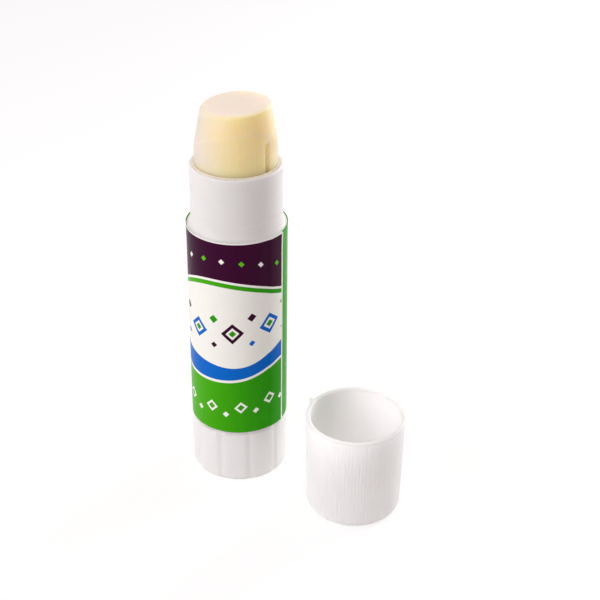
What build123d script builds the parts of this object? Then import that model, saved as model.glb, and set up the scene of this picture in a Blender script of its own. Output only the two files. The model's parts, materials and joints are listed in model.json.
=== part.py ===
from build123d import *
from math import asin, cos, degrees, radians, sin
import os

# A twist-up glue stick of the 15 g size, with its cap taken off and stood beside it.
# Millimetres, +Z up. The stick's axis is Z and its knob stands on z = 0.
# -Y is the front. Angles round the stick are counted from the front towards +X.

# Barrel, from the bore outwards
bore_radius = 9.4
neck_wall = 0.98
collar_step = 0.07
shoulder_width = 1.0
mouth_round = 0.3
spigot_wall = 1.0
boss_radius = 4.8

# Barrel, from the knob upwards
body_height = 51.1
flare_height = 2.2
collar_height = 1.4
neck_length = 11.1
floor_thickness = 1.6
skirt_depth = 3.2
spigot_length = 3.0
boss_length = 2.0

# Keys in the barrel, which stop the carrier from turning
key_count = 2
key_angle = 50
key_width = 0.9
key_height = 0.55
key_drop = 1.8
key_lead = 1.2

# Label
film = 0.12
label_margin = 0.55
label_overhang = 0.12
lap_angle = 63.6
lap_width = 4.0

# Twist knob
knob_height = 13.7
knob_inset = 0.05
knob_wall = 1.25
knob_base = 1.5
knob_edge_round = 0.9
knob_lip_round = 0.3
hub_radius = 4.8
web_count = 4
web_thickness = 1.0
web_height = 5.5
flute_count = 10
flute_angle = 14
flute_width = 1.6
flute_depth = 0.18
foot_groove_inner = 5.6
foot_groove_outer = 7.0
foot_groove_depth = 0.4

# Spindle and its seat in the knob
thread_core = 1.9
thread_radius = 2.9
thread_lead = 4.0
thread_starts = 2
thread_crest = 0.5
thread_root = 0.5
spindle_drop = 4.8
tip_chamfer = 1.2
flange_radius = 4.4
flange_thickness = 1.2
journal_radius = 3.0
drive_sides = 6
drive_flats = 4.8
drive_length = 7.5
snap_height = 0.2
snap_length = 1.0

# Carrier
cup_height = 8.0
cup_wall = 0.8
cup_base = 1.4
nut_radius = 4.6
nut_length = 6.0
pad_wall = 0.7
fin_count = 4
fin_thickness = 0.9
fin_height = 4.5

# Glue
glue_exposed = 14.05
glue_top_radius = 7.4
glue_top_round = 0.45
glue_top_tilt = 3.5
taper_angle = 10.5
taper_forward = 0.84
taper_sideways = 0.1
fold_round = 8.0

# Cap
cap_x = 27.7
cap_y = -17.7
cap_height = 24.5
cap_wall = 1.0
cap_draft = 0.4
cap_end_thickness = 1.3
cap_end_wall = 0.95
cap_end_round = 1.8
cap_inner_round = 1.0
cap_fit_depth = 11.4
cap_rim_round = 0.35
cap_lead_round = 0.5
rib_count = 90
rib_depth = 0.15
rib_gap = 0.46
rib_margin = 0.75
nib_angle = 240
nib_width = 1.2
nib_height = 0.7
nib_reach = 0.6

# Clearances and overruns
parting_gap = 0.15
glue_gap = 0.15
carrier_gap = 0.15
key_gap = 0.2
spigot_gap = 0.2
hub_gap = 0.15
thrust_gap = 0.1
journal_gap = 0.06
thread_gap = 0.15
drive_gap = 0.02
drive_end_gap = 0.3
stop_gap = 0.3
bore_end_gap = 0.4
cap_gap = 0.12
overrun = 1.0

# How far the glue has been wound up from its lowest place
rest_lift = 9.0

# Radii that follow from the sizes above
neck_radius = bore_radius + neck_wall
collar_radius = neck_radius + collar_step
body_radius = neck_radius + shoulder_width
label_radius = body_radius + film
knob_radius = label_radius - knob_inset
knob_inner_radius = knob_radius - knob_wall
spigot_radius = knob_inner_radius - spigot_gap
spigot_inner_radius = spigot_radius - spigot_wall
bearing_radius = journal_radius + journal_gap
carrier_radius = bore_radius - carrier_gap
cup_radius = carrier_radius - cup_wall
glue_radius = bore_radius - glue_gap
glue_bore_radius = thread_radius + thread_gap
key_radius = bore_radius - key_height
keyway_radius = key_radius - key_gap
pad_radius = keyway_radius - pad_wall
drive_radius = drive_flats / 2 / cos(radians(180 / drive_sides))
cap_bore_radius = neck_radius + cap_gap
cap_rim_radius = cap_bore_radius + cap_wall
cap_end_radius = cap_rim_radius - cap_draft
cap_floor_radius = cap_end_radius - cap_end_wall

# Heights that follow, from the table up
barrel_bottom = knob_height + parting_gap
spigot_bottom = barrel_bottom - spigot_length
floor_bottom = barrel_bottom + skirt_depth
floor_top = floor_bottom + floor_thickness
boss_bottom = floor_bottom - boss_length
hub_top = boss_bottom - hub_gap
shoulder = barrel_bottom + body_height
collar_bottom = shoulder + flare_height
neck_bottom = collar_bottom + collar_height
mouth = neck_bottom + neck_length
key_top = mouth - key_drop
label_bottom = barrel_bottom + label_margin
label_top = shoulder + label_overhang
flange_bottom = floor_top + thrust_gap
flange_top = flange_bottom + flange_thickness
spindle_top = mouth - spindle_drop
drive_bottom = hub_top - drive_length
snap_middle = hub_top - drive_length / 2
carrier_bottom = flange_top + stop_gap + rest_lift
cup_floor = carrier_bottom + cup_base
cup_rim = carrier_bottom + cup_height
nut_top = carrier_bottom + nut_length
glue_top = mouth + glue_exposed
glue_bore_top = spindle_top + rest_lift + bore_end_gap
keyway_top = key_top + rest_lift + key_gap


def outline(*corners):
    """Closed outline through (radius, height, rounding) corners, drawn in the XZ plane."""
    points = [(corner[0], corner[1]) for corner in corners]
    roundings = [corner[2] for corner in corners]
    return make_face(Plane.XZ * FilletPolyline(*points, radius=roundings, close=True))


def turned(*corners):
    """Solid of revolution about the stick's axis."""
    return revolve(outline(*corners), Axis.Z)


def rod(radius, bottom, top):
    """Plain round bar on the stick's axis."""
    bar = Cylinder(radius, top - bottom, align=(Align.CENTER, Align.CENTER, Align.MIN))
    return Pos(0, 0, bottom) * bar


def tube(outer, inner, bottom, top):
    """Plain ring on the stick's axis."""
    return rod(outer, bottom, top) - rod(inner, bottom, top)


def bar_out(width, inner, outer, bottom, top, angle):
    """Upright flat bar that reaches out from the axis at an angle from the front."""
    bar = Box(width, outer - inner, top - bottom, align=(Align.CENTER, Align.MAX, Align.MIN))
    return Rot(0, 0, angle) * Pos(0, -inner, bottom) * bar


def turns(count, first):
    """Evenly spaced angles, from the first one round."""
    return [first + 360 * step / count for step in range(count)]


def polar(radius, angle):
    """Point in the XY plane at an angle from the front."""
    return (radius * sin(radians(angle)), -radius * cos(radians(angle)))


def thread_section(core, crest, growth):
    """Cross-section of the coarse thread. Growth widens each thread along the axis."""
    degrees_per_length = 360 / thread_lead
    pitch = thread_lead / thread_starts
    crest_half = (thread_crest / 2 + growth) * degrees_per_length
    root_start = (pitch / 2 - thread_root / 2 + growth) * degrees_per_length
    root_end = (pitch / 2 + thread_root / 2 - growth) * degrees_per_length
    edges = []
    for angle in turns(thread_starts, 0):
        next_crest = angle + 360 / thread_starts - crest_half
        middle = angle + (root_start + root_end) / 2
        start = polar(crest, angle + crest_half)
        foot = polar(core, angle + root_start)
        heel = polar(core, angle + root_end)
        edges.append(ThreePointArc(polar(crest, angle - crest_half), polar(crest, angle), start))
        edges.append(Line(start, foot))
        edges.append(ThreePointArc(foot, polar(core, middle), heel))
        edges.append(Line(heel, polar(crest, next_crest)))
    return make_face(edges)


def twisted(face, bottom, top):
    """Left-hand screw thread with a cross-section, in step with z = 0 whatever its height."""
    height = top - bottom
    start = -360 * bottom / thread_lead
    section = (Pos(0, 0, bottom) * Rot(0, 0, start) * face).face()
    sweep = -360 * height / thread_lead
    return Solid.extrude_linear_with_rotation(section, (0, 0, bottom), (0, 0, height), sweep)


def make_barrel():
    """Tube with a bearing floor, inner keys, a flared shoulder and the neck that the cap fits."""
    body = turned(
        (spigot_inner_radius, spigot_bottom, 0),
        (spigot_radius, spigot_bottom, mouth_round),
        (spigot_radius, barrel_bottom, 0),
        (body_radius, barrel_bottom, 0),
        (body_radius, shoulder, 0),
        (collar_radius, shoulder, 0),
        (collar_radius, neck_bottom, 0),
        (neck_radius, neck_bottom, 0),
        (neck_radius, mouth, mouth_round),
        (bore_radius, mouth, mouth_round),
        (bore_radius, floor_top, 0),
        (bearing_radius, floor_top, 0),
        (bearing_radius, boss_bottom, 0),
        (boss_radius, boss_bottom, 0),
        (boss_radius, floor_bottom, 0),
        (spigot_inner_radius, floor_bottom, 0),
    )
    body += make_flare()
    for angle in turns(key_count, key_angle):
        body += make_key(angle)
    return body


def make_flare():
    """Hollow curve that widens from the collar down to the label."""
    widening = body_radius - collar_radius
    curve_radius = (widening**2 + flare_height**2) / (2 * widening)
    half_sweep = asin(flare_height / curve_radius) / 2
    top = (collar_radius, collar_bottom)
    middle_radius = collar_radius + curve_radius * (1 - cos(half_sweep))
    middle = (middle_radius, collar_bottom - curve_radius * sin(half_sweep))
    foot = (body_radius, shoulder)
    curve = ThreePointArc(top, middle, foot)
    back = Polyline(foot, (neck_radius, shoulder), (neck_radius, collar_bottom), top)
    return revolve(make_face(Plane.XZ * (curve + back)), Axis.Z)


def make_key(angle):
    """Upright rib on the bore, with a sloping top that leads the carrier on."""
    key = bar_out(key_width, key_radius, bore_radius + neck_wall / 2, floor_top, key_top, angle)
    inner_top = key.edges().filter_by(GeomType.LINE).sort_by(lambda edge: edge_rank(edge))[-1]
    return chamfer(inner_top, key_lead, key_height)


def edge_rank(edge):
    """High for an edge that is near the top and near the stick's axis."""
    middle = edge.center()
    return middle.Z - (middle.X**2 + middle.Y**2) ** 0.5


def make_label():
    """Printed film wrapped once round the barrel, its end lapped over its start."""
    film_ring = tube(label_radius, body_radius, label_bottom, label_top)
    lap_start = lap_angle - degrees(lap_width / label_radius)
    lap_middle = (lap_start + lap_angle) / 2
    under = label_radius - film / 2
    outer = ThreePointArc(
        polar(label_radius, lap_start),
        polar(label_radius + film / 2, lap_middle),
        polar(label_radius + film, lap_angle),
    )
    inner = ThreePointArc(polar(under, lap_start), polar(under, lap_middle), polar(under, lap_angle))
    ends = Line(outer @ 0, inner @ 0) + Line(outer @ 1, inner @ 1)
    lap = extrude(make_face(outer + inner + ends), label_top - label_bottom)
    return film_ring + Pos(0, 0, label_bottom) * lap


def make_knob():
    """Hollow fluted wheel with a flat foot and a hub that grips the spindle."""
    knob = turned(
        (0, 0, 0),
        (foot_groove_inner, 0, 0),
        (foot_groove_inner, foot_groove_depth, 0),
        (foot_groove_outer, foot_groove_depth, 0),
        (foot_groove_outer, 0, 0),
        (knob_radius, 0, knob_edge_round),
        (knob_radius, knob_height, knob_lip_round),
        (knob_inner_radius, knob_height, 0),
        (knob_inner_radius, knob_base, 0),
        (hub_radius, knob_base, 0),
        (hub_radius, hub_top, 0),
        (0, hub_top, 0),
    )
    web_reach = knob_inner_radius + knob_wall / 2
    web_top = knob_base + web_height
    for angle in turns(web_count, flute_angle):
        knob += bar_out(web_thickness, hub_radius - knob_wall, web_reach, knob_base, web_top, angle)
    knob -= make_drive(drive_gap, drive_bottom - drive_end_gap, hub_top + overrun)
    curve = 1 / (8 * flute_depth / flute_width**2 - 1 / knob_radius)
    flute = Pos(0, -(knob_radius - flute_depth + curve), 0) * rod(curve, -overrun, knob_height + overrun)
    return knob - [Rot(0, 0, angle) * flute for angle in turns(flute_count, flute_angle)]


def make_drive(growth, bottom, top):
    """Six-sided drive stub with a snap bead, or with growth the socket that it fills."""
    flats = drive_flats / 2 + growth
    stub = extrude(RegularPolygon(flats, drive_sides, major_radius=False), top - bottom)
    bead_radius = drive_radius + snap_height + growth
    bead = turned(
        (0, snap_middle - snap_length / 2, 0),
        (flats, snap_middle - snap_length / 2, 0),
        (bead_radius, snap_middle, 0),
        (flats, snap_middle + snap_length / 2, 0),
        (0, snap_middle + snap_length / 2, 0),
    )
    return Pos(0, 0, bottom) * stub + bead


def make_spindle():
    """Left-hand lead screw with a flange above the barrel's floor and a drive stub below it."""
    section = thread_section(thread_core, thread_radius, 0)
    thread = twisted(section, flange_top - flange_thickness / 2, spindle_top)
    tip = turned(
        (0, flange_bottom, 0),
        (flange_radius, flange_bottom, 0),
        (flange_radius, spindle_top - flange_radius + thread_radius - tip_chamfer, 0),
        (thread_radius - tip_chamfer, spindle_top, 0),
        (0, spindle_top, 0),
    )
    thread = thread & tip
    shaft = rod(flange_radius, flange_bottom, flange_top) + rod(journal_radius, hub_top, flange_bottom)
    return thread + shaft + make_drive(0, drive_bottom, hub_top)


def make_keyways(bottom, top):
    """Slots that clear the barrel's keys."""
    slots = []
    for angle in turns(key_count, key_angle):
        width = key_width + 2 * key_gap
        slots.append(bar_out(width, keyway_radius, bore_radius + overrun, bottom, top, angle))
    return slots


def make_carrier():
    """Cup that holds the glue's foot, with a nut on the spindle and slots for the keys."""
    carrier = tube(carrier_radius, cup_radius, carrier_bottom, cup_rim)
    carrier += rod(carrier_radius, carrier_bottom, cup_floor)
    carrier += rod(nut_radius, carrier_bottom, nut_top)
    for angle in turns(key_count, key_angle):
        width = key_width + 2 * key_gap + 2 * pad_wall
        pad = bar_out(width, pad_radius, carrier_radius + overrun, carrier_bottom, cup_rim, angle)
        carrier += pad & rod(carrier_radius, carrier_bottom, cup_rim)
    fin_inner = nut_radius - thread_gap
    fin_outer = cup_radius + cup_wall / 2
    for angle in turns(fin_count, key_angle + 180 / fin_count):
        carrier += bar_out(fin_thickness, fin_inner, fin_outer, cup_floor, cup_floor + fin_height, angle)
    section = thread_section(thread_core + thread_gap, thread_radius + thread_gap, thread_gap)
    carrier -= twisted(section, carrier_bottom - overrun, nut_top + overrun)
    return carrier - make_keyways(carrier_bottom - overrun, cup_rim + overrun)


def make_glue(carrier):
    """Glue cast in its carrier, with a tapered end and a top worn flat at a slight slant."""
    column = rod(glue_radius, cup_rim, glue_top + overrun)
    taper_height = glue_top - cup_rim + overrun
    taper_growth = sin(radians(taper_angle)) / cos(radians(taper_angle))
    narrow = glue_top_radius - overrun * taper_growth
    wide = narrow + taper_height * taper_growth
    cone = Cone(wide, narrow, taper_height, align=(Align.CENTER, Align.CENTER, Align.MIN))
    head = column & Pos(taper_sideways, -taper_forward, cup_rim) * cone
    fold = head.edges().filter_by(lambda edge: cup_rim + overrun < edge.center().Z < glue_top)
    head = fillet(fold.filter_by(GeomType.LINE, reverse=True), fold_round)
    width = 2 * bore_radius
    waste = Box(width, width, 2 * overrun, align=(Align.CENTER, Align.CENTER, Align.MIN))
    head -= Pos(0, 0, glue_top) * Rot(0, -glue_top_tilt, 0) * waste
    head = fillet(head.faces().sort_by(Axis.Z)[-1].edges(), glue_top_round)
    glue = head + rod(cup_radius, cup_floor, cup_rim)
    glue -= rod(nut_radius, cup_floor - overrun, nut_top)
    glue -= rod(glue_bore_radius, cup_floor, glue_bore_top)
    glue -= make_keyways(cup_floor - overrun, keyway_top)
    return glue - carrier


def make_cap():
    """Drafted cup with fine upright ribs, a plain bore and a nib of flash on its rim."""
    cap = turned(
        (0, 0, 0),
        (cap_end_radius, 0, cap_end_round),
        (cap_rim_radius, cap_height, cap_rim_round),
        (cap_bore_radius, cap_height, cap_lead_round),
        (cap_bore_radius, cap_height - cap_fit_depth, 0),
        (cap_floor_radius, cap_end_thickness, cap_inner_round),
        (0, cap_end_thickness, 0),
    )
    cap += make_nib()
    slope = Vector(0, -cap_draft, cap_height)
    wall = Plane(origin=(0, -cap_end_radius, 0), x_dir=(1, 0, 0), z_dir=slope)
    clear = rib_depth / 2
    half_width = rib_gap / 2 * (rib_depth + clear) / rib_depth
    notch = Polyline((0, rib_depth), (half_width, -clear), (-half_width, -clear), close=True)
    length = slope.length * (cap_height - rib_margin) / cap_height
    groove = extrude(wall * make_face(notch), length)
    grooves = [Rot(0, 0, angle) * groove for angle in turns(rib_count, 0)]
    return Pos(cap_x, cap_y, 0) * (cap - grooves)


def make_nib():
    """Small bump of moulding flash on the cap's rim."""
    inner = cap_bore_radius + cap_lead_round
    nib = outline(
        (inner, cap_height - nib_width, 0),
        (cap_rim_radius, cap_height - nib_width, 0),
        (cap_rim_radius + nib_reach, cap_height, 0),
        (cap_rim_radius, cap_height + nib_height, 0),
    )
    return Rot(0, 0, nib_angle - 90) * extrude(nib, nib_width / 2, both=True)


carrier = make_carrier()
pieces = {
    "barrel": make_barrel(),
    "label": make_label(),
    "twist_knob": make_knob(),
    "spindle": make_spindle(),
    "carrier": carrier,
    "glue": make_glue(carrier),
    "cap": make_cap(),
}
os.makedirs("parts", exist_ok=True)
for name, piece in pieces.items():
    export_step(piece.solid(), f"parts/{name}.step")
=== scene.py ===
import json
from math import ceil, cos, degrees, exp, hypot, log, pi, radians, sin, tan

import bpy
from mathutils import Matrix, Vector, noise


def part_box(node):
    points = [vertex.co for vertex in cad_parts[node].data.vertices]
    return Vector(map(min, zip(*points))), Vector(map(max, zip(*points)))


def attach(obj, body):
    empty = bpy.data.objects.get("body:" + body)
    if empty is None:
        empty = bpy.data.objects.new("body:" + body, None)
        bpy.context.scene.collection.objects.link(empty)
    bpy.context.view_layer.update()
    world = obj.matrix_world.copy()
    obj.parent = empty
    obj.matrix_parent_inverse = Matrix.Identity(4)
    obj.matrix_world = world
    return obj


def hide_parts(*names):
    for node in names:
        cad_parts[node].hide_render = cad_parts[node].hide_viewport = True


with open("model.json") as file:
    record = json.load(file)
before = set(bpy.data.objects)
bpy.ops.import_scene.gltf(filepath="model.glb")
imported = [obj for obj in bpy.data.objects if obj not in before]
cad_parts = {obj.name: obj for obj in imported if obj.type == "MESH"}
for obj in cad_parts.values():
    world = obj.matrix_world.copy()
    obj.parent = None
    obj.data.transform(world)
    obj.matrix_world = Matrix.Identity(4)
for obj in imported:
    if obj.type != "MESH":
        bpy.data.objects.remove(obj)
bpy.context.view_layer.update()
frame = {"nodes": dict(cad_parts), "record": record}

# Places and sizes that the frame gives
mounts = {mount["name"]: mount for mount in frame["record"]["mounts"]}
cap_place = mounts["cap_bore"]["pos_m"]
cap_x = cap_place[0]
cap_y = cap_place[1]
cap_bore = mounts["cap_bore"]["dims"]["r_mm"] / 1000
neck_radius = mounts["neck"]["dims"]["r_mm"] / 1000
label_low, label_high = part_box("label")
label_height = label_high.z - label_low.z
barrel_low, barrel_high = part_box("barrel")
mouth = barrel_high.z
knob_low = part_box("twist_knob")[0]
carrier_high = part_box("carrier")[1]

# Label. It stands off the barrel a little at its lapped end, and at its top edge behind.
film = 0.00012
label_radius = -label_low.x
lap_angle = radians(63.6)
lap_width = 0.004
lap_ramp = 0.0012
lap_gap = 0.00001
lap_lift = 0.00005
lap_lift_reach = 0.0022
corner_lift = 0.0001
back_lift = 0.0002
back_angle = radians(200)
back_half_angle = radians(125)
top_share = 0.07

# Print on the label: how its green turns lighter round it, the bands from the foot up, the panel behind
grade_turn = 0.6
grade_share = 0.75
print_edge = 0.00006
bare_edge = 0.0003
bare_lap = 0.00045
green_share = 0.30
blue_gap = 0.0007
blue_width = 0.0042
stripe_share = 0.735
stripe_width = 0.0011
purple_gap = 0.0006
follow_share = 0.6
panel_width = 0.0415
panel_line = 0.0005
panel_blank_start = 0.0105
panel_blank_end = 0.002
panel_diamonds = 16
panel_diamond_radius = 0.0009
panel_rows = 5
panel_low_share = 0.14
panel_step_share = 0.18
panel_shift = 0.0022

# Waves in the print's bands: how many go round the label, their phase and height
lower_waves = ((2, 1.9, 0.0024), (3, 0.4, 0.0009))
upper_waves = ((2, 4.3, 0.0030), (3, 2.2, 0.0008))
blue_waves = ((2, 0.2, 0.0011),)

# Knob
knob_radius = -knob_low.x
knob_wall = 0.00125
knob_height = 0.0137
knob_base = 0.0015
knob_edge_round = 0.0009
knob_lip_round = 0.0003
hub_radius = 0.0048
hub_top = 0.0149
foot_groove_inner = 0.0056
foot_groove_outer = 0.0070
foot_groove_depth = 0.0004
flute_count = 10
flute_angle = radians(14)
flute_half_width = 0.0012
flute_depth = 0.0002

# Glue
bore_radius = 0.0094
glue_gap = 0.0001
glue_radius = bore_radius - glue_gap
glue_top = 0.0937
glue_top_radius = 0.0076
glue_top_round = 0.0009
round_change = 0.6
round_angle = radians(-75)
glue_top_tilt = radians(3.5)
glue_crown = 0.00016
taper_angle = radians(10.5)
taper_forward = 0.00088
taper_sideways = 0.0002
fold_softness = 0.00005
key_angle = radians(50)
key_count = 2
groove_half_width = 0.00088
groove_depth = 0.00049
groove_flat_share = 0.56
groove_top = 0.0870
groove_fade = 0.0012
glue_bore = 0.00305
glue_bore_top = 0.08425
nut_radius = 0.0046
nut_top = 0.03525

# Unevenness of the glue: drag marks and slow swells on its side, rub marks and swells on its top
drag_depth = 0.000008
drag_size = 0.0009
drag_stretch = 12
swell_depth = 0.000014
swell_size = 0.0045
rub_height = 0.00004
rub_size = 0.0011
rub_stretch = 5
top_swell_height = 0.00007
top_swell_size = 0.004
top_swell_layer = 0.01

# Glue's colours: painted shade at the front right, fresher glue with painted shade above the mouth, a
# painted highlight on the fold, the worn top
# Painted shade on the front right: its middle turn, half width, fade and raggedness
shade_side_angle = radians(25)
shade_side_half_angle = radians(52)
shade_side_fade = radians(84)
shade_side_ragged = 0.35
# Yellower band above the mouth: fresher glue, with painted shade from the rim
fresh_shade_end = 0.0022
fresh_shade_start = 0.0002
fresh_shade_ragged = 0.0006
fresh_shade_share = 0.7
# Painted highlight: a pale line along the fold
fold_highlight_width = 0.0006
fold_highlight_share = 0.3
top_wear_low = 0.0005
top_wear_high = 0.00012

# Dried ring on the mouth: its section's corners, each out from the bore or the glue and up from the mouth
smear_on_bore = ((0.00030, -0.0004), (0.00035, -0.00003), (0.00015, 0.00001))
smear_on_glue = ((0.00012, 0.00008), (0.00002, 0.00016), (0.00001, -0.0006))
smear_unevenness = 0.00002
smear_lump_size = 0.12

# Stain of glue on the barrel's mouth
stain_depth = 0.0035
stain_fade = 0.001
stain_inset = 0.0002
stain_edge = 0.0003
stain_ragged = 0.00012
stain_share = 0.85

# Cap
cap_height = 0.0245
cap_wall = 0.0010
cap_draft = 0.0004
cap_end_thickness = 0.0013
cap_end_wall = 0.00095
cap_end_round = 0.0018
cap_inner_round = 0.001
cap_fit_depth = 0.0114
cap_rim_round = 0.00035
cap_lead_round = 0.0005
cap_inside_edge = 0.0003
# Painted shade on the rim: how far below the rim it starts, and where it is full
cap_rim_shade_low = 0.0009
cap_rim_shade_high = 0.0002
rib_count = 90
rib_depth = 0.00010
rib_margin = 0.00075
nib_angle = radians(242)
nib_half_width = 0.0006
nib_height = 0.00068
nib_reach = 0.0006

# Mesh steps. Shares are of the way up a wall, or of the way out from the middle of the glue's top.
turn_steps = 720
arc_steps = 6
label_steps_per_degree = 2
label_shares = (0, 0.004, 0.012, 0.03, 0.08, 0.2, 0.35, 0.5, 0.65, 0.8, 0.92, 0.97, 0.988, 0.996, 1)
cap_wall_steps = 12
cap_rim_shares = (0.955, 0.965, 0.975, 0.985)
glue_hidden_shares = (0, 0.25, 0.5, 0.7)
glue_shown_steps = 80
glue_top_shares = (0.95, 0.85, 0.75, 0.65, 0.55, 0.45, 0.35, 0.25, 0.15, 0.07)

# Plastics and gel: how strongly they bend light, and how far red, green and blue light spread in them
plastic_index = 1.49
film_index = 1.15
gel_index = 1.42
plastic_scatter = (1.0, 0.96, 0.96)
barrel_scatter = (1.0, 0.93, 0.92)
gel_scatter = (1.0, 0.66, 0.3)
plastic_weight = 0.9
barrel_depth = 0.0035
knob_depth = 0.003
cap_depth = 0.0038
inner_depth = 0.001
gel_depth = 0.006

# Floor
floor_reach = 3.0
floor_rings = 24
floor_sides = 64
floor_roughness = 0.7

# Camera, from the outlines of the stick and the cap in the 600 pixel wide photograph
photo_width = 600
focal_pixels = 1300
sensor_width = 36
near_limit = 0.01
camera_distance = 0.304
camera_pitch = radians(30.34)
camera_roll = radians(0.75)
camera_target = Vector((0.01448, 0, 0.04444))

# Light. Each lamp has a turn from the front and a lift in degrees, a width and a power.
lamp_target = Vector((0.012, -0.005, 0.04))
lamp_distance = 0.5
lamps = {
    "key": (-60, 25, 0.30, 1.30),
    "back": (131, 15, 0.26, 1.80),
    "top": (0, 88, 0.34, 0.68),
}
ambient = 0.395
ambient_colour = (1, 0.875, 0.89, 1)
white = (1, 1, 1, 1)
glossy_share = 0.67
floor_share = 0.70
floor_glow = 1.066


def colour(red, green, blue):
    """Linear colour for an sRGB one of 0 to 255."""
    shares = [channel / 255 for channel in (red, green, blue)]
    linear = [share / 12.92 if share < 0.04045 else ((share + 0.055) / 1.055) ** 2.4 for share in shares]
    return (*linear, 1)


cap_plastic = colour(243, 242, 243)
# Painted light: the cap's paler inside, for light that comes through its thin wall
cap_inside_painted_light = colour(253, 252, 251)
knob_plastic = colour(247, 244, 243)
barrel_plastic = colour(249, 240, 237)
# Painted shade on the cap's rim
rim_painted_shade = colour(228, 226, 226)
inner_plastic = colour(234, 232, 226)
dull_plastic = colour(214, 211, 206)
bare_film = colour(238, 239, 232)
print_green = colour(40, 150, 2)
print_green_light = colour(92, 188, 6)
print_purple = colour(54, 0, 42)
print_blue = colour(0, 100, 196)
# Glue's pale colour, and its deeper yellow that is painted shade on the front right
glue_pale = colour(223, 214, 202)
glue_deep_shade = colour(243, 226, 170)
# Yellower glue above the mouth: fresher, with painted shade from the rim
glue_fresh_shaded = colour(238, 218, 156)
# Pale worn glue on the top and in the smear, also the painted highlight along the fold
glue_worn_and_highlight = colour(241, 229, 214)
glue_stain = colour(255, 241, 226)
floor_white = colour(252, 250, 249)

# Rows of diamonds: count round the label, shift, share of its height, radius, radius of the hole, and
# the two inks that take turns. The lower rows rise and fall with the green field, the upper with the purple.
lower_diamonds = (
    (8, 0, 0.555, 0.0027, 0.0016, print_purple, print_blue),
    (8, 0, 0.555, 0.0009, 0, print_green, print_green),
    (8, 0.0045, 0.625, 0.0011, 0, print_green, print_purple),
    (8, 0.0045, 0.490, 0.0008, 0, print_purple, print_blue),
    (10, 0.0010, 0.150, 0.0016, 0.0009, bare_film, bare_film),
    (10, 0.0046, 0.115, 0.0008, 0, bare_film, bare_film),
)
upper_diamonds = (16, 0, 0.880, 0.0007, 0, bare_film, print_green_light)


class Tree:
    """A node tree, with short calls for the nodes that it is made of."""

    def __init__(self, owner):
        owner.use_nodes = True
        self.nodes = owner.node_tree.nodes
        self.links = owner.node_tree.links

    def add(self, kind, inputs=None, **settings):
        """A new node. Each input is a value or another node's socket."""
        node = self.nodes.new(kind)
        for key, value in settings.items():
            setattr(node, key, value)
        for key, value in (inputs or {}).items():
            self.feed(node.inputs[key], value)
        return node

    def feed(self, socket, value):
        if isinstance(value, bpy.types.NodeSocket):
            self.links.new(value, socket)
        else:
            socket.default_value = value

    def math(self, operation, *values):
        return self.add("ShaderNodeMath", dict(enumerate(values)), operation=operation).outputs[0]

    def sum(self, *values):
        total = values[0]
        for value in values[1:]:
            total = self.math("ADD", total, value)
        return total

    def mix(self, factor, first, second, blend="MIX"):
        node = self.add("ShaderNodeMix", data_type="RGBA", blend_type=blend)
        colours = [socket for socket in node.inputs if socket.type == "RGBA"]
        self.feed(node.inputs["Factor"], factor)
        self.feed(colours[0], first)
        self.feed(colours[1], second)
        return next(socket for socket in node.outputs if socket.type == "RGBA")

    def seen(self):
        """1 for rays that look at the surroundings, less for glossy ones, 0 for rays that gather light."""
        path = self.add("ShaderNodeLightPath")
        glossy = self.math("MULTIPLY", path.outputs["Is Glossy Ray"], glossy_share)
        seen = self.math("MAXIMUM", path.outputs["Is Camera Ray"], glossy)
        return self.math("MAXIMUM", seen, path.outputs["Is Transmission Ray"])


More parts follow.
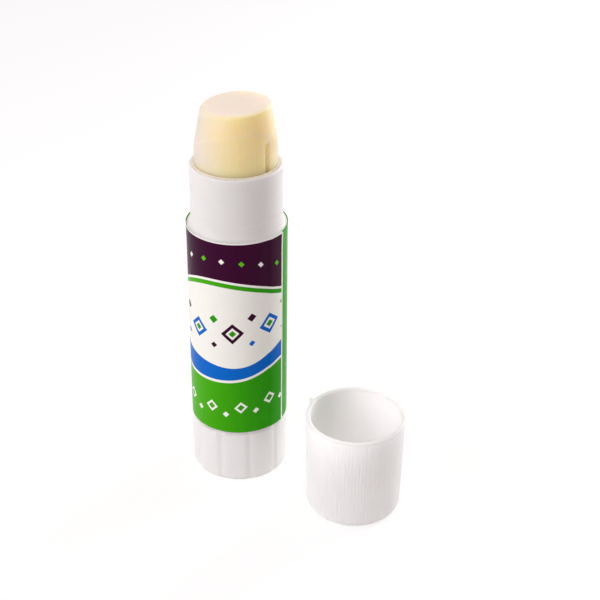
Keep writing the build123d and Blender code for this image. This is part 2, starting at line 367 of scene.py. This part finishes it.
class Paint(Tree):
    """A material's node tree, with the places, steps and patterns that its surface is made of."""

    def __init__(self, name):
        self.material = bpy.data.materials.new(name)
        super().__init__(self.material)
        self.shader = self.nodes["Principled BSDF"]
        self.place = self.add("ShaderNodeTexCoord").outputs["Object"]
        split = self.add("ShaderNodeSeparateXYZ", {"Vector": self.place})
        self.x = split.outputs["X"]
        self.y = split.outputs["Y"]
        self.z = split.outputs["Z"]

    def turn(self):
        """Angle round the stick's axis."""
        return self.math("ARCTAN2", self.x, self.math("MULTIPLY", self.y, -1))

    def radius(self, middle_x=0, middle_y=0):
        """Distance from an upright axis."""
        across = self.math("POWER", self.math("SUBTRACT", self.x, middle_x), 2)
        deep = self.math("POWER", self.math("SUBTRACT", self.y, middle_y), 2)
        return self.math("SQRT", self.sum(across, deep))

    def wave(self, along, length, phase, height):
        """Sine of a distance, with its own wavelength and height."""
        turn = self.math("MULTIPLY_ADD", along, 2 * pi / length, phase)
        return self.math("MULTIPLY", self.math("SINE", turn), height)

    def step(self, value, edge, soft):
        """0 below an edge and 1 above it, with a soft change between. A negative softness turns it round."""
        across = self.math("SUBTRACT", value, edge)
        ends = {"Value": across, "From Min": -soft / 2, "From Max": soft / 2}
        return self.add("ShaderNodeMapRange", ends, interpolation_type="SMOOTHSTEP").outputs["Result"]

    def spread(self, value, low, high, to_low, to_high):
        """Value carried from one range to another and held at its ends."""
        ends = {"Value": value, "From Min": low, "From Max": high, "To Min": to_low, "To Max": to_high}
        return self.add("ShaderNodeMapRange", ends).outputs["Result"]

    def noise(self, size, detail=3, stretch=(1, 1, 1)):
        """Cloudy noise from 0 to 1 with features of a size in metres, stretched along the axes."""
        scales = [1 / (size * share) for share in stretch]
        place = self.add("ShaderNodeMapping", {"Vector": self.place, "Scale": scales}).outputs["Vector"]
        inputs = {"Vector": place, "Scale": 1.0, "Detail": detail, "Roughness": 0.55}
        return self.add("ShaderNodeTexNoise", inputs).outputs["Fac"]

    def shade(self, base, factor, low, high):
        """Base colour made darker or lighter, as a factor from 0 to 1 goes from low to high."""
        level = self.spread(factor, 0, 1, low, high)
        grey = self.add("ShaderNodeCombineColor", {"Red": level, "Green": level, "Blue": level}).outputs[0]
        return self.mix(1, base, grey, "MULTIPLY")

    def bump(self, pattern, height, under=None):
        """Normal of a surface that a pattern from 0 to 1 raises, over another normal if one is given."""
        node = self.add("ShaderNodeBump", {"Height": pattern, "Strength": 1.0, "Distance": height})
        if under is not None:
            self.feed(node.inputs["Normal"], under)
        return node.outputs["Normal"]

    def finish(self, base, roughness, normal, **constants):
        """Connects the shader, whose other sockets take plain values."""
        self.feed(self.shader.inputs["Base Color"], base)
        self.feed(self.shader.inputs["Roughness"], roughness)
        self.feed(self.shader.inputs["Normal"], normal)
        for key, value in constants.items():
            self.shader.inputs[key.replace("_", " ")].default_value = value
        return self.material


def plastic_surface(paint, base, dull_edge, dull_range, roughness):
    """Colour, roughness and normal of moulded plastic: clouding, drag lines, fine grain, a dulled foot."""
    cloud = paint.noise(size=0.006)
    lines = paint.noise(size=0.0005, detail=2, stretch=(1, 1, 40))
    grain = paint.noise(size=0.00022, detail=2)
    scuff = paint.noise(size=0.0016, detail=4)
    foot = paint.spread(paint.z, dull_edge, dull_edge + dull_range, 1, 0)
    worn = paint.math("MULTIPLY", foot, paint.spread(scuff, 0.35, 0.75, 0, 1))
    tone = paint.shade(base, cloud, low=0.975, high=1.02)
    tone = paint.shade(tone, lines, low=0.985, high=1.01)
    tone = paint.mix(worn, tone, dull_plastic)
    rough = paint.sum(paint.spread(cloud, 0.3, 0.7, roughness - 0.04, roughness + 0.05),
                      paint.spread(lines, 0.4, 0.8, 0, 0.06),
                      paint.spread(worn, 0, 1, 0, 0.15))
    normal = paint.bump(lines, height=0.000003)
    normal = paint.bump(grain, height=0.000010, under=normal)
    return tone, rough, normal


def plastic_light(depth, scatter=plastic_scatter):
    """Shader values of white plastic that light enters to a depth."""
    return {"Subsurface_Weight": plastic_weight, "Subsurface_Scale": depth, "Subsurface_Radius": scatter,
            "IOR": plastic_index}


def paint_plastic(name, base, dull_range, roughness, depth):
    """White moulded plastic, dulled at its foot."""
    paint = Paint(name)
    surface = plastic_surface(paint, base, 0, dull_range, roughness)
    return paint.finish(*surface, **plastic_light(depth))


def paint_cap(name):
    """The cap's plastic, with painted light that makes it paler inside and painted shade that greys its rim.
    """
    paint = Paint(name)
    tone, rough, normal = plastic_surface(paint, cap_plastic, 0, dull_range=0.0012, roughness=0.5)
    # Painted light: the inside paler, for light that comes through the thin wall
    outside = paint.step(paint.radius(cap_x, cap_y), cap_bore + cap_inside_edge, cap_inside_edge)
    tone = paint.mix(outside, cap_inside_painted_light, tone)
    # Painted shade that greys the rim
    rim_shade = paint.spread(paint.z, cap_height - cap_rim_shade_low, cap_height - cap_rim_shade_high, 0, 1)
    tone = paint.mix(rim_shade, tone, rim_painted_shade)
    return paint.finish(tone, rough, normal, **plastic_light(cap_depth))


def paint_barrel(name):
    """The barrel's plastic, with a stain of glue on the rim and the inside of its mouth."""
    paint = Paint(name)
    tone, rough, normal = plastic_surface(
        paint, barrel_plastic, barrel_low.z, dull_range=0.002, roughness=0.46)
    patches = paint.noise(size=0.0015, detail=2)
    ragged = paint.spread(patches, 0.3, 0.7, -stain_ragged, stain_ragged)
    outside = paint.step(paint.sum(paint.radius(), ragged), neck_radius - stain_inset, stain_edge)
    inside = paint.math("SUBTRACT", 1, outside)
    stain = paint.math("MULTIPLY", inside, paint.step(paint.z, mouth - stain_depth, stain_fade))
    tone = paint.mix(paint.math("MULTIPLY", stain, stain_share), tone, glue_stain)
    return paint.finish(tone, rough, normal, **plastic_light(barrel_depth, barrel_scatter))


def paint_label(name):
    """Printed film: waving fields of green, blue and purple, rows of diamonds, and a panel behind."""
    paint = Paint(name)
    girth = 2 * pi * label_radius
    turn = paint.turn()
    past_lap = paint.math("FLOORED_MODULO", paint.math("SUBTRACT", turn, lap_angle), 2 * pi)
    along = paint.math("MULTIPLY", past_lap, label_radius)
    up = paint.math("SUBTRACT", paint.z, label_low.z)

    def waves(rows):
        """Sum of waves that close on themselves round the label."""
        return paint.sum(*(paint.wave(along, girth / count, phase, height) for count, phase, height in rows))

    def above(edge):
        return paint.step(up, edge, print_edge)

    def diamonds(below, follow, count, shift, share, radius, hole, *inks):
        """Row of diamonds over the print below, hollow where there is a hole."""
        cell = girth / count
        moved = paint.math("DIVIDE", paint.math("ADD", along, shift), cell)
        local = paint.math("MULTIPLY", paint.math("SUBTRACT", paint.math("FRACT", moved), 0.5), cell)
        level = paint.math("SUBTRACT", up, label_height * share)
        rise = paint.math("SUBTRACT", level, paint.math("MULTIPLY", follow, follow_share))
        reach = paint.sum(paint.math("ABSOLUTE", local), paint.math("ABSOLUTE", rise))
        inside = paint.math("SUBTRACT", 1, paint.step(reach, radius, print_edge))
        if hole:
            inside = paint.math("MULTIPLY", inside, paint.step(reach, hole, print_edge))
        parity = paint.math("FLOORED_MODULO", paint.math("FLOOR", moved), 2)
        return paint.mix(inside, below, paint.mix(parity, *inks))

    swell = waves(lower_waves)
    dip = waves(upper_waves)
    green_top = paint.sum(swell, label_height * green_share)
    blue_low = paint.sum(green_top, blue_gap)
    blue_top = paint.sum(blue_low, blue_width, waves(blue_waves))
    stripe_low = paint.sum(dip, label_height * stripe_share)
    stripe_top = paint.sum(stripe_low, stripe_width)
    purple_low = paint.sum(stripe_top, purple_gap)

    side = paint.math("SINE", paint.math("ADD", turn, grade_turn))
    grade = paint.spread(side, -1, 1, grade_share, 0)
    green = paint.mix(grade, print_green, print_green_light)
    ink = green
    bands = (
        (green_top, bare_film),
        (blue_low, print_blue),
        (blue_top, bare_film),
        (stripe_low, green),
        (stripe_top, bare_film),
        (purple_low, print_purple),
    )
    for edge, tint in bands:
        ink = paint.mix(above(edge), ink, tint)
    for row in lower_diamonds:
        ink = diamonds(ink, swell, *row)
    ink = diamonds(ink, dip, *upper_diamonds)

    panel = paint.math("SUBTRACT", 1, paint.step(along, panel_width, print_edge))
    border = paint.math("SUBTRACT", 1, paint.step(along, panel_width + panel_line, print_edge))
    started = paint.step(along, panel_blank_start, print_edge)
    unended = paint.step(along, panel_width - panel_blank_end, -print_edge)
    within = paint.math("MULTIPLY", panel, paint.math("MULTIPLY", started, unended))
    ink = paint.mix(border, ink, bare_film)
    ink = paint.mix(panel, ink, green)
    for row in range(panel_rows):
        shift = panel_shift * (row % 2)
        share = panel_low_share + panel_step_share * row
        drops = diamonds(ink, swell, panel_diamonds, shift, share, panel_diamond_radius, 0,
                         bare_film, print_green_light)
        ink = paint.mix(within, ink, drops)

    margin = paint.math("SUBTRACT", above(label_height - bare_edge), panel)
    bare = paint.math("MAXIMUM", paint.step(along, girth - bare_lap, print_edge), margin)
    ink = paint.mix(bare, ink, bare_film)

    mottle = paint.noise(size=0.0003, detail=2)
    slack = paint.noise(size=0.007, detail=2, stretch=(1, 1, 1.6))
    crease = paint.noise(size=0.0012, stretch=(1, 1, 3))
    ink = paint.shade(ink, mottle, low=0.96, high=1.03)
    rough = paint.spread(crease, 0.3, 0.7, 0.26, 0.38)
    normal = paint.bump(slack, height=0.00006)
    normal = paint.bump(crease, height=0.000012, under=normal)
    return paint.finish(ink, rough, normal, IOR=film_index)


def paint_glue(name):
    """Soap gel: pale, painted shade in deeper yellow at the front right, fresher glue and painted shade by
    the mouth, a painted highlight on the fold, worn top.
    """
    paint = Paint(name)
    cloud = paint.noise(size=0.004)
    streaks = paint.noise(size=0.0007, stretch=(1, 1, 14))
    rub = paint.noise(size=0.0006, stretch=(9, 1, 1))
    pores = paint.noise(size=0.00035, detail=2)

    # Yellower band above the mouth: fresher glue, with painted shade from the rim
    ragged = paint.spread(cloud, 0, 1, -fresh_shade_ragged, fresh_shade_ragged)
    fresh_shade = paint.spread(paint.sum(paint.z, ragged), mouth + fresh_shade_end, mouth + fresh_shade_start, 0, 1)
    level = paint.math("MULTIPLY_ADD", paint.x, -tan(glue_top_tilt), paint.z)
    top = paint.spread(level, glue_top - top_wear_low, glue_top - top_wear_high, 0, 1)
    # Painted shade: deeper yellow round the front right
    off = paint.math("ABSOLUTE", paint.math("SUBTRACT", paint.turn(), shade_side_angle))
    patchy = paint.sum(off, paint.spread(cloud, 0, 1, -shade_side_ragged, shade_side_ragged))
    shade_side = paint.step(patchy, shade_side_half_angle, -shade_side_fade)
    # Painted highlight: a pale line along the fold
    slope = tan(taper_angle)
    lean = paint.sum(paint.math("MULTIPLY", paint.x, -taper_sideways / (glue_radius * slope)),
                     paint.math("MULTIPLY", paint.y, taper_forward / (glue_radius * slope)))
    above_fold = paint.sum(paint.z, (glue_radius - glue_top_radius) / slope - glue_top, lean)
    fold_highlight = paint.spread(paint.math("ABSOLUTE", above_fold), 0, fold_highlight_width, fold_highlight_share, 0)

    tone = paint.mix(shade_side, glue_pale, glue_deep_shade)
    tone = paint.mix(paint.math("MULTIPLY", fresh_shade, fresh_shade_share), tone, glue_fresh_shaded)
    tone = paint.mix(fold_highlight, tone, glue_worn_and_highlight)
    tone = paint.shade(tone, cloud, low=0.95, high=1.03)
    tone = paint.shade(tone, streaks, low=0.965, high=1.025)
    tone = paint.mix(top, tone, paint.shade(glue_worn_and_highlight, rub, low=0.97, high=1.02))
    rough = paint.sum(paint.spread(fresh_shade, 0, 1, 0.5, 0.38),
                      paint.spread(cloud, 0.3, 0.7, -0.04, 0.05),
                      paint.spread(top, 0, 1, 0, 0.06))
    normal = paint.bump(paint.mix(top, streaks, rub), height=0.00004)
    normal = paint.bump(pores, height=0.00001, under=normal)
    return paint.finish(tone, rough, normal, Subsurface_Weight=1.0, Subsurface_Scale=gel_depth,
                        Subsurface_Radius=gel_scatter, IOR=gel_index)


def paint_smear(name):
    """Thin dried gel on the rim of the mouth: pale, mottled, a little wet."""
    paint = Paint(name)
    patches = paint.noise(size=0.0011)
    grain = paint.noise(size=0.0003, detail=2)
    tone = paint.mix(paint.spread(patches, 0.35, 0.65, 0, 1), glue_stain, glue_worn_and_highlight)
    rough = paint.spread(patches, 0.3, 0.7, 0.34, 0.5)
    return paint.finish(tone, rough, paint.bump(grain, height=0.00002), IOR=gel_index)


def rounded(*corners):
    """Points along an outline through (radius, height, rounding) corners, with each rounding as an arc."""
    points = []
    for index, (radius, height, rounding) in enumerate(corners):
        here = Vector((radius, height))
        if not rounding:
            points.append(here)
            continue
        back = (Vector(corners[index - 1][:2]) - here).normalized()
        ahead = (Vector(corners[(index + 1) % len(corners)][:2]) - here).normalized()
        half = back.angle(ahead) / 2
        centre = here + (back + ahead).normalized() * rounding / sin(half)
        first = here + back * rounding / tan(half) - centre
        last = here + ahead * rounding / tan(half) - centre
        sweep = first.angle_signed(last)
        for step in range(arc_steps + 1):
            points.append(centre + Matrix.Rotation(-sweep * step / arc_steps, 2) @ first)
    return points


def around(point, middle=(0, 0)):
    """One ring of points. The given function turns an angle into (radius, height)."""
    ring = []
    for step in range(turn_steps):
        angle = 2 * pi * step / turn_steps
        radius, height = point(angle)
        ring.append((middle[0] + radius * sin(angle), middle[1] - radius * cos(angle), height))
    return ring


def skin(name, rings, body, node, closed=False):
    """Smooth piece over a row of rings, which stands for a node. A ring of one point closes an end."""
    vertices = []
    starts = []
    for ring in rings:
        starts.append((len(vertices), len(ring)))
        vertices.extend(ring)
    pairs = list(zip(starts, starts[1:]))
    if closed:
        pairs.append((starts[-1], starts[0]))
    faces = []
    for (low, low_count), (high, high_count) in pairs:
        for step in range(max(low_count, high_count)):
            after = step + 1
            corners = [low + step % low_count, low + after % low_count]
            corners += [high + after % high_count, high + step % high_count]
            faces.append(list(dict.fromkeys(corners)))
    return piece_of(name, vertices, faces, body, node)


def piece_of(name, vertices, faces, body, node):
    """Object made of vertices and faces, smooth, on its body, in place of its node."""
    mesh = bpy.data.meshes.new(name)
    mesh.from_pydata(vertices, [], faces)
    mesh.shade_smooth()
    piece = bpy.data.objects.new(name, mesh)
    bpy.context.scene.collection.objects.link(piece)
    even = piece.modifiers.new("even_normals", "WEIGHTED_NORMAL")
    even.keep_sharp = True
    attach(piece, body)
    if node:
        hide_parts(node)
    return piece


def wrap(angle):
    """The same angle, from minus half a turn to half a turn."""
    return (angle + pi) % (2 * pi) - pi


def held(value):
    """The value, held between 0 and 1."""
    return min(max(value, 0), 1)


def smooth(value):
    """Soft change from 0 to 1 as the value goes from 0 to 1."""
    share = held(value)
    return share * share * (3 - 2 * share)


def hump(distance, half_width):
    """Smooth hump that is 1 at no distance and 0 from the half width on."""
    share = min(abs(distance) / half_width, 1)
    return (1 + cos(pi * share)) / 2


def trough(distance, half_width, flat_share):
    """Groove section with a flat floor and steep sides: 1 in the middle, 0 outside."""
    return smooth((1 - abs(distance) / half_width) / (1 - flat_share))


def smaller(first, second, softness):
    """The smaller of two lengths, blended softly where they are alike."""
    return min(first, second) - softness * log(1 + exp(-abs(first - second) / softness))


def lump(x, y, z, size):
    """Smooth unevenness from about -1 to 1, with features of a size."""
    return noise.noise(Vector((x, y, z)) / size)


def make_knob():
    """Knob with ten soft flutes, a rounded foot, and the hub inside."""
    outline = rounded(
        (foot_groove_inner, 0, 0),
        (foot_groove_inner, foot_groove_depth, 0),
        (foot_groove_outer, foot_groove_depth, 0),
        (foot_groove_outer, 0, 0),
        (knob_radius, 0, knob_edge_round),
        (knob_radius, knob_height, knob_lip_round),
        (knob_radius - knob_wall, knob_height, 0),
        (knob_radius - knob_wall, knob_base, 0),
        (hub_radius, knob_base, 0),
        (hub_radius, hub_top, 0),
    )
    flutes = [flute_angle + 2 * pi * step / flute_count for step in range(flute_count)]
    reach = knob_radius - knob_edge_round

    def ring(point):
        """Ring through one point of the outline, pressed in at the flutes where it is outside."""
        outer = held((point.x - reach) / (knob_radius - reach))

        def pressed(angle):
            nearest = min(abs(wrap(angle - flute)) for flute in flutes)
            return point.x - flute_depth * outer * hump(nearest * knob_radius, flute_half_width), point.y

        return around(pressed)

    rings = [[(0, 0, 0)]] + [ring(point) for point in outline] + [[(0, 0, hub_top)]]
    return skin("knob_shell", rings, "knob", "twist_knob")


def make_cap():
    """Cap with fine round ribs, a smooth rim and inside, and a nib of flash on the rim."""
    rim = cap_bore + cap_wall
    end = rim - cap_draft
    outline = rounded(
        (0, 0, 0),
        (end, 0, cap_end_round),
        (rim, cap_height, cap_rim_round),
        (cap_bore, cap_height, cap_lead_round),
        (cap_bore, cap_height - cap_fit_depth, 0),
        (end - cap_end_wall, cap_end_thickness, cap_inner_round),
        (0, cap_end_thickness, 0),
    )
    wall_shares = [step / cap_wall_steps for step in range(1, cap_wall_steps)] + list(cap_rim_shares)
    wall_start = arc_steps + 2
    low = outline[wall_start - 1]
    high = outline[wall_start]
    outline[wall_start:wall_start] = [low.lerp(high, share) for share in wall_shares]

    def ring(point, outside):
        """Ring through one point of the outline, with the ribs and the nib where it is outside."""
        rib_fade = held((cap_height - rib_margin - point.y) / rib_margin) if outside else 0
        foot_fade = held((point.y - cap_end_round / 3) / cap_end_round)
        lift = hump(cap_height - point.y, 3 * nib_half_width) if outside else 0

        def ribbed(angle):
            groove = ((1 + cos(rib_count * angle)) / 2) ** 2
            radius = point.x - rib_depth * groove * rib_fade * foot_fade
            swell = hump(wrap(angle - nib_angle) * rim, 2 * nib_half_width) * lift
            return radius + nib_reach * swell, point.y + nib_height * swell

        return around(ribbed, middle=(cap_x, cap_y))

    bore_start = wall_start + len(wall_shares) + arc_steps + 1
    rings = [ring(point, index < bore_start) for index, point in enumerate(outline)]
    rings[0] = [(cap_x, cap_y, 0)]
    rings[-1] = [(cap_x, cap_y, cap_end_thickness)]
    return skin("cap_shell", rings, "cap", "cap")


def make_glue():
    """Glue with a tapered end, key grooves, drag marks down its side and a rubbed, slanting top."""
    foot = carrier_high.z
    keys = [key_angle + 2 * pi * step / key_count for step in range(key_count)]

    def side_radius(angle, height):
        """Column and cone blended at the fold, less the grooves and the drag marks."""
        across = sin(angle) * taper_sideways + cos(angle) * taper_forward
        off = hypot(taper_sideways, taper_forward)
        cone = glue_top_radius + (glue_top - height) * tan(taper_angle)
        cone = across + (across**2 + cone**2 - off**2) ** 0.5
        radius = smaller(glue_radius, cone, fold_softness)
        fade = held((groove_top - height) / groove_fade)
        for key in keys:
            aside = wrap(angle - key) * glue_radius
            depth = groove_depth * trough(aside, groove_half_width, groove_flat_share)
            radius = min(radius, glue_radius - depth * fade)
        x = glue_radius * sin(angle)
        y = glue_radius * cos(angle)
        drag = lump(x, y, height / drag_stretch, drag_size)
        swell = lump(x, y, height, swell_size)
        return radius - drag_depth * (1 + drag) - swell_depth * (1 + swell)

    def edge_round(angle):
        """Rounding of the top's edge, softer at the left."""
        return glue_top_round * (1 + round_change * cos(angle - round_angle))

    def edge_height(angle):
        """Where the side ends and the rounding starts."""
        return glue_top + glue_top_radius * sin(angle) * tan(glue_top_tilt) - edge_round(angle)

    def top_height(angle, radius):
        """Height of the slanted top, crowned a little and rubbed unevenly."""
        x = radius * sin(angle)
        y = -radius * cos(angle)
        crown = glue_crown * (1 - (radius / glue_top_radius) ** 2)
        rub = rub_height * lump(x / rub_stretch, y, 0, rub_size)
        swell = top_swell_height * lump(x, y, top_swell_layer, top_swell_size)
        return glue_top + x * tan(glue_top_tilt) + crown - glue_crown + rub + swell

    def side_ring(share):
        """Ring at a share of the way up the side, from the carrier's rim to the edge of the top."""
        def point(angle):
            height = foot + (edge_height(angle) - foot) * share
            return side_radius(angle, height), height
        return around(point)

    def edge_ring(step):
        """Ring on the rounded edge of the top."""
        bend = pi / 2 * step / arc_steps

        def point(angle):
            edge = edge_height(angle)
            radius = side_radius(angle, edge) - edge_round(angle) * (1 - cos(bend))
            flat = top_height(angle, radius)
            return radius, edge + (flat - edge) * sin(bend)
        return around(point)

    def top_ring(share):
        """Ring on the top, at a share of the way out from its middle."""
        def point(angle):
            radius = (side_radius(angle, edge_height(angle)) - edge_round(angle)) * share
            return radius, top_height(angle, radius)
        return around(point)

    hidden = glue_hidden_shares[-1]
    shown = [hidden + (1 - hidden) * step / glue_shown_steps for step in range(1, glue_shown_steps + 1)]
    inside = [(glue_bore, glue_bore_top), (glue_bore, nut_top), (nut_radius, nut_top), (nut_radius, foot)]
    rings = [[(0, 0, glue_bore_top)]]
    rings += [around(lambda angle, corner=corner: corner) for corner in inside]
    rings += [side_ring(share) for share in (*glue_hidden_shares, *shown)]
    rings += [edge_ring(step) for step in range(1, arc_steps + 1)]
    rings += [top_ring(share) for share in glue_top_shares]
    rings += [[(0, 0, top_height(0, 0))]]
    return skin("glue_gel", rings, "carrier", "glue")


def make_smear():
    """Thin ring of glue left in the rounded inner edge of the mouth, where the column rubs past it."""
    def ring(radius, height):
        def point(angle):
            uneven = lump(sin(angle), cos(angle), radius, smear_lump_size)
            return radius, height + smear_unevenness * uneven
        return around(point)

    rings = [ring(bore_radius + out, mouth + up) for out, up in smear_on_bore]
    rings += [ring(glue_radius + out, mouth + up) for out, up in smear_on_glue]
    return skin("glue_smear", rings, "barrel", None, closed=True)


def make_label():
    """Film wrapped once round the barrel from the lap's start, with its end lifted over that start."""
    inner = label_radius - film
    start = lap_angle - lap_width / label_radius
    length = 2 * pi + lap_width / label_radius
    ramp = lap_ramp / label_radius
    columns = ceil(degrees(length) * label_steps_per_degree)

    def layer(turn, level, above):
        """Point on the film's inner or outer face."""
        over = smooth((turn - 2 * pi + ramp) / ramp)
        near_end = max(0, 1 - (length - turn) * label_radius / lap_lift_reach)
        near_top = max(0, 1 - (1 - level) / top_share)
        behind = hump(wrap(start + turn - back_angle), back_half_angle) ** 0.5
        lift = (lap_lift + corner_lift * near_top) * near_end**2 + back_lift * behind * near_top**2
        radius = inner + (film + lap_gap) * over + lift + film * above
        angle = start + turn
        return (radius * sin(angle), -radius * cos(angle), label_low.z + label_height * level)

    vertices = []
    for above in (0, 1):
        for column in range(columns + 1):
            turn = length * column / columns
            vertices.extend(layer(turn, level, above) for level in label_shares)
    rows = len(label_shares)
    sheet = (columns + 1) * rows
    faces = []
    for column in range(columns):
        for row in range(rows - 1):
            corner = column * rows + row
            face = [corner, corner + rows, corner + rows + 1, corner + 1]
            faces.append([sheet + index for index in face])
            faces.append(face[::-1])
        for row in (0, rows - 1):
            corner = column * rows + row
            face = [corner, corner + rows, sheet + corner + rows, sheet + corner]
            faces.append(face if row == 0 else face[::-1])
    for column in (0, columns):
        for row in range(rows - 1):
            corner = column * rows + row
            face = [corner, corner + 1, sheet + corner + 1, sheet + corner]
            faces.append(face[::-1] if column == 0 else face)
    return piece_of("label_film_wrap", vertices, faces, "barrel", "label")


def dress(node, material):
    """Gives a CAD node its material."""
    slots = frame["nodes"][node].data.materials
    slots.clear()
    slots.append(material)


def add_floor():
    """Pale floor. The camera sees it as the white background, with a faint shadow."""
    mesh = bpy.data.meshes.new("floor")
    turns = [2 * pi * side / floor_sides for side in range(floor_sides)]
    vertices = [(0, 0, 0)]
    for ring in range(1, floor_rings + 1):
        radius = floor_reach * (ring / floor_rings) ** 2
        vertices += [(radius * cos(turn), radius * sin(turn), 0) for turn in turns]
    faces = [(0, 1 + side, 1 + (side + 1) % floor_sides) for side in range(floor_sides)]
    for ring in range(floor_rings - 1):
        inner = 1 + ring * floor_sides
        outer = inner + floor_sides
        for side in range(floor_sides):
            after = (side + 1) % floor_sides
            faces.append((inner + side, outer + side, outer + after, inner + after))
    mesh.from_pydata(vertices, [], faces)
    floor = bpy.data.objects.new("floor", mesh)
    bpy.context.scene.collection.objects.link(floor)
    paint = Paint("floor_white")
    grain = paint.noise(size=0.004, detail=2)
    base = paint.shade(floor_white, grain, low=0.99, high=1.01)
    surface = paint.finish(base, floor_roughness, paint.bump(grain, height=0.00002))
    glow = paint.add("ShaderNodeEmission", {"Color": white, "Strength": floor_glow})
    share = paint.math("MULTIPLY", paint.seen(), floor_share)
    layers = {0: share, 1: paint.shader.outputs["BSDF"], 2: glow.outputs["Emission"]}
    blend = paint.add("ShaderNodeMixShader", layers)
    paint.feed(paint.nodes["Material Output"].inputs["Surface"], blend.outputs[0])
    mesh.materials.append(surface)


def add_world():
    """Even white surroundings, dimmer and a little redder as light than they look."""
    world = bpy.data.worlds.new("studio")
    bpy.context.scene.world = world
    tree = Tree(world)
    seen = tree.seen()
    background = tree.nodes["Background"].inputs
    tree.feed(background["Color"], tree.mix(seen, ambient_colour, white))
    tree.feed(background["Strength"], tree.math("MULTIPLY_ADD", seen, 1 - ambient, ambient))


def add_lamp(name, turn, lift, width, power):
    """Square soft light aimed at the object."""
    side = radians(turn)
    height = radians(lift)
    away = Vector((sin(side) * cos(height), -cos(side) * cos(height), sin(height)))
    lamp = bpy.data.lights.new(name, "AREA")
    lamp.size = width
    lamp.energy = power
    holder = bpy.data.objects.new(name, lamp)
    holder.location = lamp_target + away * lamp_distance
    holder.rotation_euler = away.to_track_quat("Z", "Y").to_euler()
    bpy.context.scene.collection.objects.link(holder)


def add_camera():
    """Camera at the photograph's angle, looking along +Y and down."""
    ahead = Vector((0, cos(camera_pitch), -sin(camera_pitch)))
    above = Vector((0, sin(camera_pitch), cos(camera_pitch)))
    side = Vector((1, 0, 0))
    right = side * cos(camera_roll) + above * sin(camera_roll)
    up = above * cos(camera_roll) - side * sin(camera_roll)
    data = bpy.data.cameras.new("camera")
    data.sensor_width = sensor_width
    data.lens = sensor_width * focal_pixels / photo_width
    data.clip_start = near_limit
    camera = bpy.data.objects.new("camera", data)
    turn = Matrix((right, up, -ahead)).transposed().to_4x4()
    camera.matrix_world = Matrix.Translation(camera_target - ahead * camera_distance) @ turn
    bpy.context.scene.collection.objects.link(camera)
    bpy.context.scene.camera = camera


add_camera()
add_world()
add_floor()
for lamp_name, lamp_settings in lamps.items():
    add_lamp(lamp_name, *lamp_settings)

make_label().data.materials.append(paint_label("label_print"))
make_knob().data.materials.append(
    paint_plastic("knob_white", knob_plastic, dull_range=0.0012, roughness=0.46, depth=knob_depth))
make_cap().data.materials.append(paint_cap("cap_white"))
make_glue().data.materials.append(paint_glue("glue_cream"))
make_smear().data.materials.append(paint_smear("glue_dried"))
dress("barrel", paint_barrel("barrel_white"))
for node_name in ("spindle", "carrier"):
    dress(node_name, paint_plastic(
        node_name + "_white", inner_plastic, dull_range=0.001, roughness=0.5, depth=inner_depth))

scene = bpy.context.scene
scene.view_settings.view_transform = "Standard"
